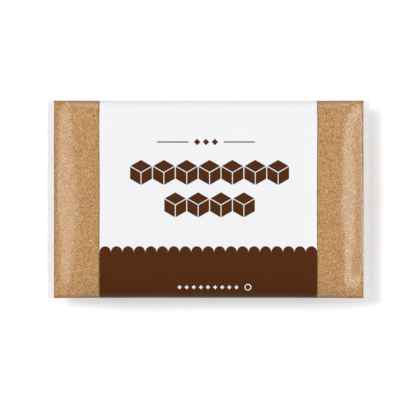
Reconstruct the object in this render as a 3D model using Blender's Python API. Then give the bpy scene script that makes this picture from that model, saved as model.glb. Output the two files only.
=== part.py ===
"""A sealed pouch of brown sugar, lying on its back with the printed side up.

Metres, +Z up. The origin is on the table, under the middle of the pouch. +X runs from the left seal to the
right seal and +Y towards the top edge of the print. The pouch is a tube of clear film, filled with sugar and
welded flat at both ends. A white belt is printed round its middle, with a brown band along the lower edge.
"""

import math

import bmesh
import bpy

# Driving dimensions
OVERALL_LENGTH = 0.2286  # from seal tip to seal tip
WAIST_WIDTH = 0.1398  # across the long sides, a little in from the seals
THICKNESS = 0.0440  # of the filled pouch, lying down
SEAL_WIDTH = 0.0043  # of the flat weld at each end
SEAL_THICKNESS = 0.0006
SEAL_HEIGHT = 0.0190  # of the welds above the table

# The filled body
END_RUN = 0.0436  # from the weld to where the top is level
WELD_FLARE = 0.0022  # how gently the film leaves the weld
MIDDLE_POWER, END_POWER = 3.0, 5.0  # of the superellipse that a cut across the pouch shows
POWER_RUN = 0.030  # from the welds, how far the end's power carries in
CROWN_DROP = 0.07  # share of the top's rise that is lost towards the ends
UNDERSIDE_DEPTH = 0.0225  # of the free underside, which the table flattens
EAR = 0.0005  # extra half width at the corners, where the weld holds the film out
EAR_RUN = 0.022
BELLY = 0.0001  # extra half width at the middle

# Unevenness of the film
LONG_WAVE, SHORT_WAVE = 0.0006, 0.00025  # how far the welds wave up and down
LONG_WAVE_LENGTH, SHORT_WAVE_LENGTH = 0.083, 0.037
WAVE_FADE = 0.016  # from the weld to where the waves have nearly gone
SWELLS = (  # soft swells and dents: end, distance in from the weld, y, radius along x, radius along y, height
    (-1, 0.0038, 0.0657, 0.0060, 0.0294, -0.0009),
    (-1, 0.0030, 0.0650, 0.0067, 0.0109, -0.0006),
    (-1, 0.0146, 0.0268, 0.0129, 0.0257, -0.0009),
    (-1, 0.0119, -0.0213, 0.0128, 0.0275, -0.0010),
    (-1, 0.0199, -0.0263, 0.0112, 0.0168, -0.0010),
    (-1, 0.0059, -0.0435, 0.0057, 0.0300, -0.0005),
    (1, 0.0037, 0.0698, 0.0062, 0.0146, 0.0005),
    (1, 0.0114, 0.0623, 0.0129, 0.0270, 0.0016),
    (1, 0.0082, 0.0568, 0.0060, 0.0203, -0.0003),
    (1, 0.0201, 0.0021, 0.0080, 0.0289, 0.0012),
    (1, 0.0030, 0.0004, 0.0123, 0.0299, 0.0014),
    (1, 0.0063, -0.0355, 0.0130, 0.0162, 0.0010),
    (1, 0.0104, -0.0466, 0.0106, 0.0082, 0.0015),
    (1, 0.0164, -0.0604, 0.0055, 0.0235, 0.0011),
)
SWELL_RISE = 0.003  # from the weld to where they are nearly at their full height
LONG_LUMP, SHORT_LUMP = 0.0003, 0.0002  # height of the soft lumps of the packed sugar
LONG_LUMP_LENGTH, SHORT_LUMP_LENGTH, SLANT_LUMP_LENGTH = 0.071, 0.049, 0.120

# The print
BELT_WIDTH = 0.1532  # of the white belt, along the pouch
BAND_TOP = -0.0347  # y of the brown band's upper edge on the front

# Mesh
QUARTER_POINTS = 24  # round a quarter of the cross-section
CURVE_STEPS = 300  # for measuring along that quarter
SIDE_CROWDING = 3.0  # how much closer the points stand on its steep side
END_STEPS = 13  # rings between a weld and the level top
END_CROWDING = 1.4  # how much closer they stand near the weld
MIDDLE_STEP = 0.0062  # from ring to ring along the level top

HALF_LENGTH = OVERALL_LENGTH / 2
HALF_BODY = HALF_LENGTH - SEAL_WIDTH
HALF_SEAL = SEAL_THICKNESS / 2
RING_POINTS = 4 * QUARTER_POINTS
TOP_RISE = THICKNESS - SEAL_HEIGHT - HALF_SEAL


def clear_scene():
    for leftover in list(bpy.data.objects):
        bpy.data.objects.remove(leftover)


def inset(x):
    """Distance in from the nearer weld, 0 on the weld itself."""
    return max(0.0, HALF_BODY - abs(x))


def half_width(x):
    s = inset(x)
    return WAIST_WIDTH / 2 + EAR * math.exp(-s / EAR_RUN) + BELLY * (s / HALF_BODY) ** 2


def end_rise(x):
    """Share of the full rise at x: 0 on the weld, 1 beyond END_RUN."""
    s = min(inset(x), END_RUN)
    flared = s * s / (s + WELD_FLARE) * (END_RUN + WELD_FLARE) / END_RUN
    return 1 - (1 - flared / END_RUN) ** 2


def top_rise(x):
    """Height of the top film over the weld's plane, along the middle of the pouch."""
    return TOP_RISE * (1 - CROWN_DROP * (x / HALF_BODY) ** 2) * end_rise(x)


def weld_plane(x, y):
    """Height of the weld's plane over the table. It waves a little at each end."""
    side = 1 if x > 0 else -1
    long_wave = LONG_WAVE * math.sin(math.tau * y / LONG_WAVE_LENGTH + side)
    short_wave = SHORT_WAVE * math.cos(math.tau * y / SHORT_WAVE_LENGTH - side)
    return SEAL_HEIGHT + (long_wave + short_wave) * math.exp(-inset(x) / WAVE_FADE)


def swell(x, y):
    """How far the film stands over the plain form, near the welds."""
    side = 1 if x > 0 else -1
    total = 0.0
    for end, far_in, across, run, reach, height in SWELLS:
        if end == side:
            total += height * math.exp(-(((inset(x) - far_in) / run) ** 2) - ((y - across) / reach) ** 2)
    return total * (1 - math.exp(-inset(x) / SWELL_RISE))


def lump(x, y):
    """Soft lumps of the packed sugar under the top film."""
    along = math.sin(math.tau * x / LONG_LUMP_LENGTH + 0.7) * math.cos(math.tau * y / SHORT_LUMP_LENGTH + 0.4)
    slanting = math.cos(math.tau * (x + y) / SLANT_LUMP_LENGTH - 0.5)
    return LONG_LUMP * along + SHORT_LUMP * slanting


def section_power(x):
    """Power of the superellipse at x. The welds hold the film out, so the section is boxier near them."""
    return MIDDLE_POWER + (END_POWER - MIDDLE_POWER) * math.exp(-inset(x) / POWER_RUN)


def superellipse(angle, power):
    """(width share, height share) of the section's quarter, from its top at 0 to its side at a right angle."""
    across, up = math.sin(angle), max(0.0, math.cos(angle))
    reach = (across**power + up**power) ** (-1 / power)
    return across * reach, up * reach


def quarter_shares(x):
    """Points of the quarter along the curve of the cross-section at x, crowded on its steep side."""
    power, height = section_power(x), HALF_SEAL + top_rise(x)
    curve = [superellipse(math.pi / 2 * i / CURVE_STEPS, power) for i in range(CURVE_STEPS)] + [(1.0, 0.0)]
    lengths = [0.0]
    for (v0, g0), (v1, g1) in zip(curve, curve[1:]):
        across, up = (v1 - v0) * WAIST_WIDTH / 2, (g1 - g0) * height
        lengths.append(lengths[-1] + math.hypot(across, SIDE_CROWDING * up))
    shares = [curve[0]]
    i = 0
    for k in range(1, QUARTER_POINTS):
        target = lengths[-1] * k / QUARTER_POINTS
        while lengths[i + 1] < target:
            i += 1
        part = (target - lengths[i]) / (lengths[i + 1] - lengths[i])
        (v0, g0), (v1, g1) = curve[i], curve[i + 1]
        shares.append((v0 + (v1 - v0) * part, g0 + (g1 - g0) * part))
    return shares + [curve[-1]]


def ring_shares(x):
    """(width share, height share, side) round the pouch at x. Side 1 is the top film and -1 the underside."""
    quarter = quarter_shares(x)
    half = [(v, g) for v, g in reversed(quarter)] + [(-v, g) for v, g in quarter[1:]]
    top = [(v, g, 1) for v, g in half[:-1]]
    underside = [(v, g, -1) for v, g in reversed(half[1:])]
    return top + underside


def surface_point(x, v, g, side):
    """The point of the pouch's outside at x, for one width share and height share."""
    y = v * half_width(x)
    if side > 0:
        height = (HALF_SEAL + top_rise(x)) * g + (lump(x, y) * end_rise(x) + swell(x, y)) * g**2
    else:
        height = (HALF_SEAL + UNDERSIDE_DEPTH * end_rise(x)) * g
    return x, y, max(0.0, weld_plane(x, y) + side * height)


def ring_places():
    """x of every ring, from the left seal's tip to the right seal's tip."""
    end = [END_RUN * (k / END_STEPS) ** END_CROWDING for k in range(END_STEPS + 1)]
    level = HALF_BODY - END_RUN
    steps = round(2 * level / MIDDLE_STEP)
    middle = [-level + 2 * level * k / steps for k in range(1, steps)]
    left = [-HALF_LENGTH] + [-HALF_BODY + s for s in end]
    return left + middle + [-x for x in reversed(left)]


def cap_seal(mesh, ring, edges, number):
    """Closes a seal's tip with four-sided faces that run from the top film to the underside."""
    bmesh.ops.edgeloop_fill(mesh, edges=edges)
    rim = {v[number]: v for v in ring}
    for k in range(1, RING_POINTS // 2):
        bmesh.ops.connect_verts(mesh, verts=[rim[k], rim[RING_POINTS - k]])


def build_body_mesh():
    """Extrudes one ring along the pouch, and gives it the next cross-section each time."""
    mesh = bmesh.new()
    number = mesh.verts.layers.int.new("number")
    ring = bmesh.ops.create_circle(mesh, segments=RING_POINTS, radius=WAIST_WIDTH)["verts"]
    for k, v in enumerate(ring):
        v[number] = k
    edges = list(mesh.edges)
    left_tip = ring, edges
    for step, x in enumerate(ring_places()):
        if step:
            grown = bmesh.ops.extrude_edge_only(mesh, edges=edges)["geom"]
            ring = [part for part in grown if isinstance(part, bmesh.types.BMVert)]
            edges = [part for part in grown if isinstance(part, bmesh.types.BMEdge)]
        shares = ring_shares(x)
        for v in ring:
            v.co = surface_point(x, *shares[v[number]])
    cap_seal(mesh, *left_tip, number)
    cap_seal(mesh, ring, edges, number)
    bmesh.ops.recalc_face_normals(mesh, faces=mesh.faces)
    return mesh


def material(name, colour, roughness):
    made = bpy.data.materials.new(name)
    made.use_nodes = True
    shader = made.node_tree.nodes["Principled BSDF"]
    shader.inputs["Base Color"].default_value = (*colour, 1.0)
    shader.inputs["Roughness"].default_value = roughness
    shader.inputs["Metallic"].default_value = 0.0
    return made


SUGAR, WHITE, BROWN, SEAL = range(4)


def print_field(centre):
    """Which field of colour a face belongs to, from its centre."""
    if abs(centre.x) > HALF_BODY:
        return SEAL
    if abs(centre.x) > BELT_WIDTH / 2:
        return SUGAR
    return BROWN if centre.y < BAND_TOP else WHITE


def build_pouch():
    mesh = build_body_mesh()
    for face in mesh.faces:
        face.material_index = print_field(face.calc_center_median())
    data = bpy.data.meshes.new("pouch")
    mesh.to_mesh(data)
    mesh.free()
    data.materials.append(material("brown sugar behind clear film", (0.51, 0.29, 0.13), 0.45))
    data.materials.append(material("white print", (0.83, 0.84, 0.86), 0.35))
    data.materials.append(material("brown print", (0.083, 0.026, 0.010), 0.35))
    data.materials.append(material("clear welded film", (0.80, 0.81, 0.82), 0.30))
    data.shade_smooth()
    data.set_sharp_from_angle(angle=math.radians(50))
    pouch = bpy.data.objects.new("pouch", data)
    bpy.context.scene.collection.objects.link(pouch)
    return pouch


clear_scene()
build_pouch()
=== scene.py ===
import functools
import math

import bmesh
import bpy
import numpy as np
from mathutils import Matrix, Vector, noise


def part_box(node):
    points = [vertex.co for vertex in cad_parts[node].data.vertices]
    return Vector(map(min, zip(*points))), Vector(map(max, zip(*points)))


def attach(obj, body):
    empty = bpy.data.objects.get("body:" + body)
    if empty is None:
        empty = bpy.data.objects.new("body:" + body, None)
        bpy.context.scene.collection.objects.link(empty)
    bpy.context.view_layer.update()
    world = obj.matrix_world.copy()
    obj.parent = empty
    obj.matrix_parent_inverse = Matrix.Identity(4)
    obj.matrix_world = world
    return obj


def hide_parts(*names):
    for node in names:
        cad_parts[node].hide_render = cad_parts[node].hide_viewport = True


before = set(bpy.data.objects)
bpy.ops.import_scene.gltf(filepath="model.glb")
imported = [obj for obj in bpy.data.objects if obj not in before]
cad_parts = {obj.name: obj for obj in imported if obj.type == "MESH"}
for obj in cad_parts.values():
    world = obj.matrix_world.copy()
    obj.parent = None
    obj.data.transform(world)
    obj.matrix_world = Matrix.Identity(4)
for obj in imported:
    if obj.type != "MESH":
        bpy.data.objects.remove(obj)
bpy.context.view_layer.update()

# Brown sugar
# The filling: soft, moist brown sugar that the film presses into the pouch's form. It is one closed tube of
# rings with raised grains, a little inside the film. The rings are close together where the film is clear.
HALF_LENGTH, CORNER_HALF_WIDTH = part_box("pouch")[1][:2]
THICKNESS = 0.0440
SEAL_WIDTH = 0.0043
SEAL_HEIGHT = 0.0190
HALF_WELD = 0.00013  # half the thickness of the two welded films
HALF_BODY = HALF_LENGTH - SEAL_WIDTH
END_RUN = 0.0436  # from the weld to where the top is level
WELD_FLARE = 0.0022  # how gently the film leaves the weld
MIDDLE_POWER, END_POWER = 3.0, 5.0  # of the superellipse that a cut across the pouch shows
POWER_RUN = 0.030  # from the welds, how far the end's power carries in
CROWN_DROP = 0.07  # share of the top's rise that is lost towards the ends
UNDERSIDE_DEPTH = 0.0225
EAR, EAR_RUN = 0.0005, 0.022  # extra half width at the corners, where the weld holds the film out
BELLY = 0.0001  # extra half width in the middle
LONG_WAVE, LONG_WAVE_LENGTH = 0.0006, 0.083  # how the welds wave up and down
SHORT_WAVE, SHORT_WAVE_LENGTH = 0.00025, 0.037
WAVE_FADE = 0.016
SWELLS = (  # soft swells and dents: end, distance in from the weld, y, radius along x, radius along y, height
    (-1, 0.0038, 0.0657, 0.0060, 0.0294, -0.0009),
    (-1, 0.0030, 0.0650, 0.0067, 0.0109, -0.0006),
    (-1, 0.0146, 0.0268, 0.0129, 0.0257, -0.0009),
    (-1, 0.0119, -0.0213, 0.0128, 0.0275, -0.0010),
    (-1, 0.0199, -0.0263, 0.0112, 0.0168, -0.0010),
    (-1, 0.0059, -0.0435, 0.0057, 0.0300, -0.0005),
    (1, 0.0037, 0.0698, 0.0062, 0.0146, 0.0005),
    (1, 0.0114, 0.0623, 0.0129, 0.0270, 0.0016),
    (1, 0.0082, 0.0568, 0.0060, 0.0203, -0.0003),
    (1, 0.0201, 0.0021, 0.0080, 0.0289, 0.0012),
    (1, 0.0030, 0.0004, 0.0123, 0.0299, 0.0014),
    (1, 0.0063, -0.0355, 0.0130, 0.0162, 0.0010),
    (1, 0.0104, -0.0466, 0.0106, 0.0082, 0.0015),
    (1, 0.0164, -0.0604, 0.0055, 0.0235, 0.0011),
)
SWELL_RISE = 0.003  # from the weld to where they are nearly at their full height
LONG_LUMP, SHORT_LUMP = 0.0003, 0.0002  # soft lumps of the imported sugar
LONG_LUMP_LENGTH, SHORT_LUMP_LENGTH, SLANT_LUMP_LENGTH = 0.071, 0.049, 0.120
TOP_RISE = THICKNESS - SEAL_HEIGHT
BELT_LEFT, BELT_RIGHT = -0.0769, 0.0763  # where the clear ends stop and the printed belt starts
BELT_BOW = 0.0005  # how far the belt's edges bow inwards along the middle
SUGAR_DEPTH = 0.00022  # under the film's outside
GRAIN_SIZE, GRAIN_RELIEF = 0.0010, 0.00008
RELIEF_RUN = 0.002  # from the weld to where the grains have their full relief
SIDE_SHADE_RUN, PRINT_SHADE_RUN, WELD_SHADE_RUN = 0.0026, 0.0011, 0.0030  # how far in the painted shade reaches from the long sides, the print's edge and the welds
SIDE_SHADE_DEPTH, WELD_SHADE_DEPTH = 0.75, 0.14  # and how dark the painted shade is there, where 1 is its full depth beside the print's edge
UNDER_PRINT = 0.0015  # how far the tube's close rings run on under the printed belt
SUGAR_POINTS, CLEAR_STATIONS, HIDDEN_STATIONS = 440, 60, 12
QUARTER_STEPS = 240  # for measuring along a quarter of the cross-section
GRAIN, CLUMP = 0.0006, 0.004  # how wide a grain and a clump of like grains are
GRAIN_TONES = (  # from the darkest grain to the palest, and their places from 0 to 1
    (0.0, (0.33, 0.155, 0.050, 1)),
    (0.3, (0.518, 0.278, 0.105, 1)),
    (0.7, (0.627, 0.350, 0.139, 1)),
    (0.93, (0.73, 0.432, 0.186, 1)),
    (1.0, (0.88, 0.570, 0.286, 1)),
)
CLUMP_SHADES = (0.97, 1.03)
# Colour that the grains are multiplied by where shade is painted: beside the print's edge, at the long sides
# and at the welds.
PAINTED_SHADE_TINT = (0.50, 0.38, 0.25, 1)


def inset(x):
    """Distance in from the nearer weld, 0 on the weld itself."""
    return max(0.0, HALF_BODY - abs(x))


def half_width(x):
    s = inset(x)
    return CORNER_HALF_WIDTH - EAR + EAR * math.exp(-s / EAR_RUN) + BELLY * (s / HALF_BODY) ** 2


def end_rise(x):
    """Share of the full rise at x: 0 on the weld, 1 beyond END_RUN."""
    s = min(inset(x), END_RUN)
    flared = s * s / (s + WELD_FLARE) * (END_RUN + WELD_FLARE) / END_RUN
    return 1 - (1 - flared / END_RUN) ** 2


def top_rise(x):
    return TOP_RISE * (1 - CROWN_DROP * (x / HALF_BODY) ** 2) * end_rise(x)


def weld_plane(x, y):
    """Height of the weld's plane over the table. It waves a little at each end."""
    side = 1 if x > 0 else -1
    long_wave = LONG_WAVE * math.sin(math.tau * y / LONG_WAVE_LENGTH + side)
    short_wave = SHORT_WAVE * math.cos(math.tau * y / SHORT_WAVE_LENGTH - side)
    return SEAL_HEIGHT + (long_wave + short_wave) * math.exp(-inset(x) / WAVE_FADE)


def swell(x, y):
    """How far the film stands over the plain form, near the welds."""
    side = 1 if x > 0 else -1
    total = 0.0
    for end, far_in, across, run, reach, height in SWELLS:
        if end == side:
            total += height * math.exp(-(((inset(x) - far_in) / run) ** 2) - ((y - across) / reach) ** 2)
    return total * (1 - math.exp(-inset(x) / SWELL_RISE))


def lump(x, y):
    along = math.sin(math.tau * x / LONG_LUMP_LENGTH + 0.7) * math.cos(math.tau * y / SHORT_LUMP_LENGTH + 0.4)
    slanting = math.cos(math.tau * (x + y) / SLANT_LUMP_LENGTH - 0.5)
    return LONG_LUMP * along + SHORT_LUMP * slanting


def section_power(x):
    """Power of the superellipse at x. The welds hold the film out, so the section is boxier near them."""
    return MIDDLE_POWER + (END_POWER - MIDDLE_POWER) * math.exp(-inset(x) / POWER_RUN)


def height_share(x, y, depth):
    """Share of the section's height that is left at y, that far under the film."""
    power = section_power(x)
    return (1 - min(1.0, abs(y) / (half_width(x) - depth)) ** power) ** (1 / power)


def front_point(x, y, depth=0.0):
    """The point of the pouch's front over x, y, or that far under it."""
    share = height_share(x, y, depth)
    unevenness = (lump(x, y) * end_rise(x) + swell(x, y)) * share**2
    rise = max(0.0, HALF_WELD + top_rise(x) - depth)
    return Vector((x, y, weld_plane(x, y) + rise * share + unevenness))


def back_point(x, y, depth=0.0):
    """The point of the pouch's back under x, y. The table flattens it."""
    fall = max(0.0, HALF_WELD + UNDERSIDE_DEPTH * end_rise(x) - depth)
    return Vector((x, y, max(depth, weld_plane(x, y) - fall * height_share(x, y, depth))))


@functools.cache
def quarter_round(x):
    """Width shares at x from the middle of the front to its long side, and their places on that quarter."""
    angles = np.linspace(0, math.pi / 2, QUARTER_STEPS)
    across, up = np.sin(angles), np.cos(angles).clip(0)
    power = section_power(x)
    reach = (across**power + up**power) ** (-1 / power)
    widths, heights = across * reach, up * reach
    steps = np.hypot(np.diff(widths) * half_width(x), np.diff(heights) * (HALF_WELD + top_rise(x)))
    along = np.append(0, np.cumsum(steps))
    return widths, along / along[-1]


def round_point(x, turn, depth=0.0):
    """A point of the pouch. turn is 0 in the middle of the front, 1/4 at the lower side, 1/2 on the back."""
    widths, along = quarter_round(round(x, 4))
    share = 1 - abs(1 - 4 * turn % 2)
    width = float(np.interp(share, along, widths))
    y = (half_width(x) - depth) * width * (-1 if turn % 1 < 0.5 else 1)
    on_front = math.cos(math.tau * turn) > 0
    return front_point(x, y, depth) if on_front else back_point(x, y, depth)


def belt_edge(side, turn):
    """x of the printed belt's left (-1) or right (1) edge."""
    edge = BELT_LEFT if side < 0 else BELT_RIGHT
    return edge - side * BELT_BOW * math.cos(math.tau * turn) ** 2


def unit_tube(points, stations):
    """A tube along Z from -1 to 1, of radius 1, with so many points in a ring and stretches between rings."""
    mesh = bmesh.new()
    bmesh.ops.create_cone(mesh, segments=points, radius1=1, radius2=1, depth=2, cap_ends=False)
    lengthwise = [e for e in mesh.edges if abs(e.verts[0].co.z - e.verts[1].co.z) > 1]
    bmesh.ops.subdivide_edges(mesh, edges=lengthwise, cuts=stations - 1, use_grid_fill=True)
    return mesh


def turn_of(co):
    return math.atan2(co.y, co.x) / math.tau % 1


def piece_from(mesh, name, material, smooth_angle=40):
    """Makes the object of a finished mesh, and ties it to the pouch's body."""
    bmesh.ops.remove_doubles(mesh, verts=mesh.verts, dist=1e-7)
    bmesh.ops.recalc_face_normals(mesh, faces=mesh.faces)
    data = bpy.data.meshes.new(name)
    mesh.to_mesh(data)
    mesh.free()
    data.materials.append(material)
    data.shade_smooth()
    data.set_sharp_from_angle(angle=math.radians(smooth_angle))
    piece = bpy.data.objects.new(name, data)
    bpy.context.scene.collection.objects.link(piece)
    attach(piece, "root")
    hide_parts("pouch")
    return piece


def new_material(name):
    """A material with its node tree and its Principled shader."""
    material = bpy.data.materials.new(name)
    material.use_nodes = True
    return material, material.node_tree, material.node_tree.nodes["Principled BSDF"]


def sugar_material():
    """Grains of slightly different browns, with painted shade: darker beside the print's edge, at the long
    sides and at the welds.
    """
    material, tree, shader = new_material("brown sugar")
    place = tree.nodes.new("ShaderNodeTexCoord").outputs["Object"]
    cells = tree.nodes.new("ShaderNodeTexVoronoi")
    cells.inputs["Scale"].default_value = 1 / GRAIN
    tree.links.new(place, cells.inputs["Vector"])
    grain = tree.nodes.new("ShaderNodeSeparateColor")
    tree.links.new(cells.outputs["Color"], grain.inputs["Color"])
    tones = tree.nodes.new("ShaderNodeValToRGB")
    stops = tones.color_ramp.elements
    stops[0].color = GRAIN_TONES[0][1]
    stops[1].color = GRAIN_TONES[-1][1]
    for stop, colour in GRAIN_TONES[1:-1]:
        stops.new(stop).color = colour
    tree.links.new(grain.outputs["Red"], tones.inputs["Fac"])
    clumps = tree.nodes.new("ShaderNodeTexNoise")
    clumps.inputs["Scale"].default_value = 1 / CLUMP
    clumps.inputs["Detail"].default_value = 3
    tree.links.new(place, clumps.inputs["Vector"])
    shade = tree.nodes.new("ShaderNodeMapRange")
    shade.inputs["From Min"].default_value = 0.3
    shade.inputs["From Max"].default_value = 0.7
    shade.inputs["To Min"].default_value, shade.inputs["To Max"].default_value = CLUMP_SHADES
    tree.links.new(clumps.outputs["Fac"], shade.inputs["Value"])
    tinted = tree.nodes.new("ShaderNodeVectorMath")
    tinted.operation = "SCALE"
    tree.links.new(tones.outputs["Color"], tinted.inputs[0])
    tree.links.new(shade.outputs["Result"], tinted.inputs["Scale"])
    # Painted shade: the sugar mesh's shade attribute darkens the grains towards the shade tint.
    painted_shade = tree.nodes.new("ShaderNodeAttribute")
    painted_shade.attribute_name = "painted_shade"
    shade_mix = tree.nodes.new("ShaderNodeMix")
    shade_mix.data_type = "RGBA"
    shade_mix.blend_type = "MULTIPLY"
    shade_mix.inputs["B"].default_value = PAINTED_SHADE_TINT
    tree.links.new(painted_shade.outputs["Fac"], shade_mix.inputs["Factor"])
    tree.links.new(tinted.outputs["Vector"], shade_mix.inputs["A"])
    tree.links.new(shade_mix.outputs["Result"], shader.inputs["Base Color"])
    bump = tree.nodes.new("ShaderNodeBump")
    bump.inputs["Distance"].default_value = 0.0002
    bump.inputs["Strength"].default_value = 0.5
    tree.links.new(cells.outputs["Distance"], bump.inputs["Height"])
    tree.links.new(bump.outputs["Normal"], shader.inputs["Normal"])
    shader.inputs["Roughness"].default_value = 0.75
    shader.inputs["Specular IOR Level"].default_value = 0.05
    return material


def sugar_station(share):
    """x at that share of the tube. Its rings stand close under the clear ends, and far apart elsewhere."""
    total = 2 * CLEAR_STATIONS + HIDDEN_STATIONS
    stops = (0, CLEAR_STATIONS / total, 1 - CLEAR_STATIONS / total, 1)
    places = (-HALF_BODY, BELT_LEFT + UNDER_PRINT, BELT_RIGHT - UNDER_PRINT, HALF_BODY)
    return float(np.interp(share, stops, places))


def painted_shade_share(x, y, turn):
    """Strength of the painted shade, 0 to 1: a painted shadow beside the print's edge, and painted shade at
    the long sides and at the welds.
    """
    from_side = (half_width(x) - abs(y)) / SIDE_SHADE_RUN
    from_print = min(abs(x - belt_edge(-1, turn)), abs(x - belt_edge(1, turn))) / PRINT_SHADE_RUN
    from_weld = inset(x) / WELD_SHADE_RUN
    return max(0.0, SIDE_SHADE_DEPTH * (1 - from_side), 1 - from_print, WELD_SHADE_DEPTH * (1 - from_weld))


sugar_mesh = unit_tube(SUGAR_POINTS, 2 * CLEAR_STATIONS + HIDDEN_STATIONS)
# Each point of the sugar carries how much painted shade its colour gets.
painted_shade = sugar_mesh.verts.layers.float.new("painted_shade")
for vert in sugar_mesh.verts:
    x = sugar_station((vert.co.z + 1) / 2)
    turn = turn_of(vert.co)
    surface = round_point(x, turn)
    relief = GRAIN_RELIEF * noise.noise(surface / GRAIN_SIZE) * min(1.0, inset(x) / RELIEF_RUN)
    vert[painted_shade] = painted_shade_share(x, surface.y, turn)
    vert.co = round_point(x, turn, SUGAR_DEPTH - relief)
piece_from(sugar_mesh, "sugar", sugar_material(), smooth_angle=80)

# Clear film
# The two clear ends of the pouch: thin glossy film, drawn tight over the sugar, with soft creases near the
# welds. Each is a closed sleeve that runs from its weld to the edge of the printed belt.
FILM = 0.00008
FILM_POINTS, FILM_STATIONS = 260, 34
FINE_SHARE = 0.25  # of the crinkle's fine waves, where the broad ones count 1


def crinkle_group():
    """Shader nodes shared by all the film: a height that varies like thin film that has been handled."""
    group = bpy.data.node_groups.new("film crinkle", "ShaderNodeTree")
    for name in ("Fine Size", "Broad Size"):
        group.interface.new_socket(name, in_out="INPUT", socket_type="NodeSocketFloat")
    group.interface.new_socket("Height", in_out="OUTPUT", socket_type="NodeSocketFloat")
    group.interface.new_socket("Wear", in_out="OUTPUT", socket_type="NodeSocketFloat")
    given = group.nodes.new("NodeGroupInput")
    made = group.nodes.new("NodeGroupOutput")
    place = group.nodes.new("ShaderNodeTexCoord")
    heights = []
    for name in ("Fine Size", "Broad Size"):
        rate = group.nodes.new("ShaderNodeMath")
        rate.operation = "DIVIDE"
        rate.inputs[0].default_value = 1
        group.links.new(given.outputs[name], rate.inputs[1])
        cloud = group.nodes.new("ShaderNodeTexNoise")
        cloud.inputs["Detail"].default_value = 2
        group.links.new(place.outputs["Object"], cloud.inputs["Vector"])
        group.links.new(rate.outputs[0], cloud.inputs["Scale"])
        heights.append(cloud.outputs["Fac"])
    both = group.nodes.new("ShaderNodeMath")
    both.operation = "MULTIPLY_ADD"
    both.inputs[1].default_value = FINE_SHARE
    group.links.new(heights[0], both.inputs[0])
    group.links.new(heights[1], both.inputs[2])
    group.links.new(both.outputs[0], made.inputs["Height"])
    group.links.new(heights[1], made.inputs["Wear"])
    return group


film_crinkle = crinkle_group()


def add_crinkle(tree, shader, fine, broad, height, rough_low, rough_high):
    """Gives a film's shader the shared crinkle, as a bump and as a slight change of its roughness."""
    crinkle = tree.nodes.new("ShaderNodeGroup")
    crinkle.node_tree = film_crinkle
    crinkle.inputs["Fine Size"].default_value = fine
    crinkle.inputs["Broad Size"].default_value = broad
    bump = tree.nodes.new("ShaderNodeBump")
    bump.inputs["Distance"].default_value = height
    tree.links.new(crinkle.outputs["Height"], bump.inputs["Height"])
    tree.links.new(bump.outputs["Normal"], shader.inputs["Normal"])
    rough = tree.nodes.new("ShaderNodeMapRange")
    rough.inputs["To Min"].default_value = rough_low
    rough.inputs["To Max"].default_value = rough_high
    tree.links.new(crinkle.outputs["Wear"], rough.inputs["Value"])
    tree.links.new(rough.outputs["Result"], shader.inputs["Roughness"])


def clear_film_material():
    material, tree, shader = new_material("clear film")
    add_crinkle(tree, shader, fine=0.009, broad=0.024, height=0.0002, rough_low=0.14, rough_high=0.19)
    shader.inputs["Base Color"].default_value = (0.12, 0.12, 0.12, 1)
    shader.inputs["IOR"].default_value = 3.4
    shader.inputs["Alpha"].default_value = 0.10
    return material


clear_film = clear_film_material()
for side, name in ((-1, "left_clear_film"), (1, "right_clear_film")):
    sleeve = unit_tube(FILM_POINTS, FILM_STATIONS)
    bmesh.ops.solidify(sleeve, geom=sleeve.faces[:], thickness=FILM)
    for vert in sleeve.verts:
        turn = turn_of(vert.co)
        from_weld = (1 + vert.co.z) / 2
        x = side * HALF_BODY + (belt_edge(side, turn) - side * HALF_BODY) * from_weld
        vert.co = round_point(x, turn, 1 - math.hypot(vert.co.x, vert.co.y))
    piece_from(sleeve, name, clear_film)

# End seals
# The pouch's two ends, where ribbed jaws have welded front and back film into one flat strip. Each is a thin
# slab with fine ribs pressed into it, which run along the strip.
RIBS, RIB_HEIGHT = 4, 0.00012
SEAL_COLUMNS, SEAL_ROWS = 40, 90


def seal_material():
    material, tree, shader = new_material("welded film")
    add_crinkle(tree, shader, fine=0.003, broad=0.011, height=0.0003, rough_low=0.29, rough_high=0.40)
    shader.inputs["Base Color"].default_value = (0.745, 0.757, 0.77, 1)
    shader.inputs["Alpha"].default_value = 0.43
    return material


welded_film = seal_material()
for side, name in ((-1, "left_seal"), (1, "right_seal")):
    strip = bmesh.new()
    bmesh.ops.create_grid(strip, x_segments=SEAL_COLUMNS, y_segments=SEAL_ROWS, size=1)
    bmesh.ops.solidify(strip, geom=strip.faces[:], thickness=2 * HALF_WELD)
    for vert in strip.verts:
        out = (1 + vert.co.x) / 2
        x = side * (HALF_BODY + SEAL_WIDTH * out)
        y = CORNER_HALF_WIDTH * vert.co.y
        rib = RIB_HEIGHT * (1 - math.cos(math.tau * RIBS * out)) / 2
        vert.co = (x, y, weld_plane(x, y) + HALF_WELD + vert.co.z + rib)
    piece_from(strip, name, welded_film)

# White belt
# The printed middle of the film, opaque white. It goes round the pouch from the scalloped edge of the brown
# band on the front, over the upper long side, to that band's edge on the back. It is one slab of film.
BELT_FILM = 0.00012
SCALLOPS, SCALLOP_COLUMNS = 19, 12
SCALLOP_VALLEY, SCALLOP_HEIGHT = -0.0371, 0.0042  # y between two scallops, and how far they rise above it
BELT_ROWS = 96
BELT_FADE = 8  # how soon the scallops' waves fade across the belt's rows
WHITE = (0.740, 0.746, 0.760)


def belt_column(column):
    """Share of the belt's length at a column of its slab: columns crowd where two scallops meet."""
    scallop, step = divmod(column, SCALLOP_COLUMNS)
    return (scallop + (1 - math.cos(math.pi * step / SCALLOP_COLUMNS)) / 2) / SCALLOPS


def scallop_line(x, along):
    """Turn at which the brown band starts on the front, where along is the share of the belt's length."""
    across = 2 * (along * SCALLOPS % 1) - 1
    y = SCALLOP_VALLEY + SCALLOP_HEIGHT * math.sqrt(max(0.0, 1 - across * across))
    widths, shares = quarter_round(round(x, 4))
    return float(np.interp(-y / half_width(x), widths, shares)) / 4


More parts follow.
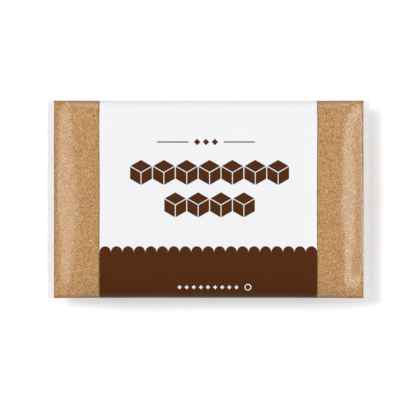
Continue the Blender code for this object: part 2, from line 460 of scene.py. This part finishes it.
def wrap_print(mesh, turn_at):
    """Wraps a slab of columns and rows round the pouch. turn_at gives the turn at x, along and the row."""
    columns = SCALLOPS * SCALLOP_COLUMNS
    for vert in mesh.verts:
        along = belt_column(round((1 + vert.co.x) / 2 * columns))
        middle = BELT_LEFT + (BELT_RIGHT - BELT_LEFT) * along
        turn = turn_at(middle, along, (1 + vert.co.y) / 2)
        x = belt_edge(-1, turn) + (belt_edge(1, turn) - belt_edge(-1, turn)) * along
        vert.co = round_point(x, turn, -vert.co.z)


def belt_turn(x, along, row):
    """From the front's scallops over the upper long side to the back's. The scallops' waves soon fade."""
    level = scallop_line(x, 0)
    wave = scallop_line(x, along) - level
    fade = (1 - row) ** BELT_FADE + row**BELT_FADE
    return ((level + wave * fade) * (1 - row) + (-0.5 - level - wave * fade) * row) % 1


def print_material(name, colour, rough_low, rough_high, gloss):
    material, tree, shader = new_material(name)
    roughness = {"rough_low": rough_low, "rough_high": rough_high}
    add_crinkle(tree, shader, fine=0.016, broad=0.045, height=0.0010, **roughness)
    shader.inputs["Base Color"].default_value = (*colour, 1)
    shader.inputs["Specular IOR Level"].default_value = gloss
    return material


def print_slab(rows):
    mesh = bmesh.new()
    bmesh.ops.create_grid(mesh, x_segments=SCALLOPS * SCALLOP_COLUMNS, y_segments=rows, size=1)
    bmesh.ops.solidify(mesh, geom=mesh.faces[:], thickness=BELT_FILM)
    return mesh


white_print = print_material("white print", WHITE, rough_low=0.29, rough_high=0.37, gloss=0.50)
belt = print_slab(BELT_ROWS)
wrap_print(belt, belt_turn)
piece_from(belt, "white_belt", white_print)

# Brown band
# The dark brown part of the print, under the scallops. It goes round the lower long side of the pouch, from
# the front to the back, and meets the white belt edge to edge.
BAND_ROWS = 40
BAND_FADE = 4  # how soon the scallops' waves fade across the band's rows
BROWN = (0.0735, 0.0225, 0.0068)


def band_turn(x, along, row):
    level = scallop_line(x, 0)
    wave = scallop_line(x, along) - level
    front, back = level + wave * (1 - row) ** BAND_FADE, 0.5 - level - wave * row**BAND_FADE
    return front * (1 - row) + back * row


brown_print = print_material("brown print", BROWN, rough_low=0.09, rough_high=0.15, gloss=0.05)
band = print_slab(BAND_ROWS)
wrap_print(band, band_turn)
piece_from(band, "brown_band", brown_print)

# Sugar cube pattern
# Plain ornament printed in brown on the white belt: two rows of sugar cubes, each drawn as three rhombi with
# fine gaps between them. Each rhombus is a thin slab of ink that lies on the film.
INK = 0.00006
CUBE_RADIUS = 0.0092
CUBE_ROWS = ((7, 0.0187), (4, -0.0040))  # how many cubes, and y of their centres
CUBE_PITCH = 0.0160
FACE_SHARE = 0.92  # of a cube's face that is inked
PATTERN_MIDDLE = 0.0006
FACE_STEPS = 5


def lay_ink(mesh):
    """Gives flat ink its thickness and lays it on the front of the pouch."""
    bmesh.ops.solidify(mesh, geom=mesh.faces[:], thickness=INK)
    for vert in mesh.verts:
        vert.co = front_point(vert.co.x, vert.co.y) + Vector((0, 0, INK + vert.co.z))


def add_rhombus(mesh, centre, first, second):
    """A flat rhombus with these two sides round a centre, divided finely enough to follow the film."""
    sides = Matrix((first, second, (0, 0, 1))).transposed().to_4x4()
    grid = Matrix.Translation(centre) @ sides
    bmesh.ops.create_grid(mesh, x_segments=FACE_STEPS, y_segments=FACE_STEPS, size=0.5, matrix=grid)


def add_cube(mesh, x, y):
    angles = [math.radians(30 + 60 * k) for k in range(6)]
    corners = [CUBE_RADIUS * Vector((math.cos(angle), math.sin(angle), 0)) for angle in angles]
    for k in (0, 2, 4):
        first, second = corners[k], corners[(k + 2) % 6]
        centre = Vector((x, y, 0)) + (first + second) / 2
        add_rhombus(mesh, centre, first * FACE_SHARE, second * FACE_SHARE)


cubes = bmesh.new()
for count, y in CUBE_ROWS:
    for k in range(count):
        add_cube(cubes, PATTERN_MIDDLE + CUBE_PITCH * (k - (count - 1) / 2), y)
lay_ink(cubes)
piece_from(cubes, "sugar_cube_pattern", brown_print)

# Divider
# A fine brown line above the cubes, broken by three small diamonds, printed like them.
DIVIDER_MIDDLE = Vector((-0.0019, 0.0401, 0))
LINE_LENGTH, LINE_WIDTH, LINE_STEPS = 0.0220, 0.0008, 12
DIAMOND, DIAMOND_PITCH = 0.0046, 0.0062

divider = bmesh.new()
for side in (-1, 1):
    centre = DIVIDER_MIDDLE + Vector((side * (LINE_LENGTH / 2 + 2 * DIAMOND_PITCH), 0, 0))
    bmesh.ops.create_grid(
        divider,
        x_segments=LINE_STEPS,
        y_segments=1,
        size=0.5,
        matrix=Matrix.Translation(centre) @ Matrix.Diagonal((LINE_LENGTH, LINE_WIDTH, 1, 1)),
    )
for k in (-1, 0, 1):
    half = Vector((DIAMOND / 2, DIAMOND / 2, 0))
    other = Vector((-DIAMOND / 2, DIAMOND / 2, 0))
    add_rhombus(divider, DIVIDER_MIDDLE + Vector((k * DIAMOND_PITCH, 0, 0)), half, other)
lay_ink(divider)
piece_from(divider, "divider", brown_print)

# White marks
# A row of small white diamonds and a ring near the bottom of the brown band, printed over the brown.
MARKS_Y = -0.0619
MARK_COUNT, MARK_FIRST, MARK_LAST = 9, -0.0205, 0.0195
MARK = 0.0030
RING_X, RING_OUTER, RING_LINE, RING_POINTS = 0.0276, 0.0024, 0.0007, 32

marks = bmesh.new()
for k in range(MARK_COUNT):
    x = MARK_FIRST + (MARK_LAST - MARK_FIRST) * k / (MARK_COUNT - 1)
    half, other = Vector((MARK / 2, MARK / 2, 0)), Vector((-MARK / 2, MARK / 2, 0))
    add_rhombus(marks, Vector((x, MARKS_Y, 0)), half, other)
rim = bmesh.ops.create_circle(marks, segments=RING_POINTS, radius=RING_OUTER)["verts"]
rim_edges = list({e for v in rim for e in v.link_edges})
inner = bmesh.ops.extrude_edge_only(marks, edges=rim_edges)["geom"]
inner_verts = [v for v in inner if isinstance(v, bmesh.types.BMVert)]
shrink = 1 - RING_LINE / RING_OUTER
bmesh.ops.scale(marks, vec=(shrink, shrink, 1), verts=inner_verts)
bmesh.ops.translate(marks, vec=(RING_X, MARKS_Y, 0), verts=rim + inner_verts)
bmesh.ops.recalc_face_normals(marks, faces=marks.faces)
lay_ink(marks)
piece_from(marks, "white_marks", white_print)

# Table top
# A plain pale surface under the pouch, wide enough to fill every view. It throws little light back on the
# pouch's sides, and glows a little to the camera alone, so that it looks white there.
FLOOR_RADIUS = 6.0
TABLE_GREYS = (0.60, 0.62)
TABLE_GLOW = 0.38


def floor_material():
    material, tree, shader = new_material("pale table top")
    place = tree.nodes.new("ShaderNodeTexCoord").outputs["Object"]
    clouds = tree.nodes.new("ShaderNodeTexNoise")
    clouds.inputs["Scale"].default_value = 3
    tree.links.new(place, clouds.inputs["Vector"])
    tones = tree.nodes.new("ShaderNodeMix")
    tones.data_type = "RGBA"
    for socket, grey in zip("AB", TABLE_GREYS):
        tones.inputs[socket].default_value = (grey, grey, grey, 1)
    tree.links.new(clouds.outputs["Fac"], tones.inputs["Factor"])
    tree.links.new(tones.outputs["Result"], shader.inputs["Base Color"])
    shader.inputs["Roughness"].default_value = 0.9
    shader.inputs["Specular IOR Level"].default_value = 0.1
    shader.inputs["Emission Color"].default_value = (1, 1, 1, 1)
    path = tree.nodes.new("ShaderNodeLightPath")
    glow = tree.nodes.new("ShaderNodeMath")
    glow.operation = "MULTIPLY"
    glow.inputs[1].default_value = TABLE_GLOW
    tree.links.new(path.outputs["Is Camera Ray"], glow.inputs[0])
    tree.links.new(glow.outputs[0], shader.inputs["Emission Strength"])
    return material


table = bmesh.new()
bmesh.ops.create_circle(table, cap_ends=True, segments=96, radius=FLOOR_RADIUS)
table_data = bpy.data.meshes.new("table_top")
table.to_mesh(table_data)
table.free()
table_data.materials.append(floor_material())
table_top = bpy.data.objects.new("table_top", table_data)
bpy.context.scene.collection.objects.link(table_top)

# Light
# A soft white room, a broad lamp at the upper left that throws the short soft shadow, a low fill lamp at the
# right, and a softbox low at each end of the pouch and at the top, which only the gloss of the film shows.
ROOM_LIGHT = 0.66
LAMP_STRENGTH, LAMP_SPREAD = 2.02, 18
SHADOW_REACH = Vector((0.0108, -0.0056, -0.0190))  # from the seal's edge to the edge of its shadow
FILL_FROM, FILL_STRENGTH = Vector((1, -0.12, 0.06)), 2.1
SOFTBOXES = (  # place, width, height and watts
    (Vector((-0.80, 0.17, 0.09)), 1.2, 0.165, 1.45),
    (Vector((0.80, 0.17, 0.09)), 1.2, 0.165, 1.95),
    (Vector((0, 0.80, 0.15)), 1.4, 0.25, 1.4),
)


def room():
    world = bpy.data.worlds.new("soft white room")
    world.use_nodes = True
    background = world.node_tree.nodes["Background"]
    background.inputs["Color"].default_value = (1, 1, 1, 1)
    background.inputs["Strength"].default_value = ROOM_LIGHT
    bpy.context.scene.world = world
    world.cycles_visibility.glossy = False  # after the line above, since it refreshes the scene's world


def add_light(name, kind, place, energy):
    """A light at that place, turned to face the origin."""
    data = bpy.data.lights.new(name, kind)
    data.energy = energy
    light = bpy.data.objects.new(name, data)
    light.location = place
    light.rotation_euler = place.to_track_quat("Z", "Y").to_euler()
    light.visible_camera = False
    bpy.context.scene.collection.objects.link(light)
    return light


room()
lamp = add_light("lamp", "SUN", -SHADOW_REACH, LAMP_STRENGTH)
fill = add_light("fill", "SUN", FILL_FROM, FILL_STRENGTH)
for sun in (lamp, fill):
    sun.data.angle = math.radians(LAMP_SPREAD)
    sun.visible_glossy = False
for number, (place, width, height, watts) in enumerate(SOFTBOXES):
    softbox = add_light(f"softbox_{number}", "AREA", place, watts)
    softbox.data.shape = "RECTANGLE"
    softbox.data.size, softbox.data.size_y = width, height
    softbox.visible_diffuse = False
bpy.context.scene.view_settings.view_transform = "Standard"

# Camera
# It looks straight down on the pouch from far off, as in the photograph.
VIEW_WIDTH = 0.2957  # of the picture, at the height of the seals
VIEW_MIDDLE = (-0.0005, -0.00615)
LENS, SENSOR = 200, 36

camera_data = bpy.data.cameras.new("camera")
camera_data.lens = LENS
camera_data.sensor_width = SENSOR
camera_data.clip_end = 20
camera = bpy.data.objects.new("camera", camera_data)
camera.location = (*VIEW_MIDDLE, SEAL_HEIGHT + VIEW_WIDTH * LENS / SENSOR)
bpy.context.scene.collection.objects.link(camera)
bpy.context.scene.camera = camera
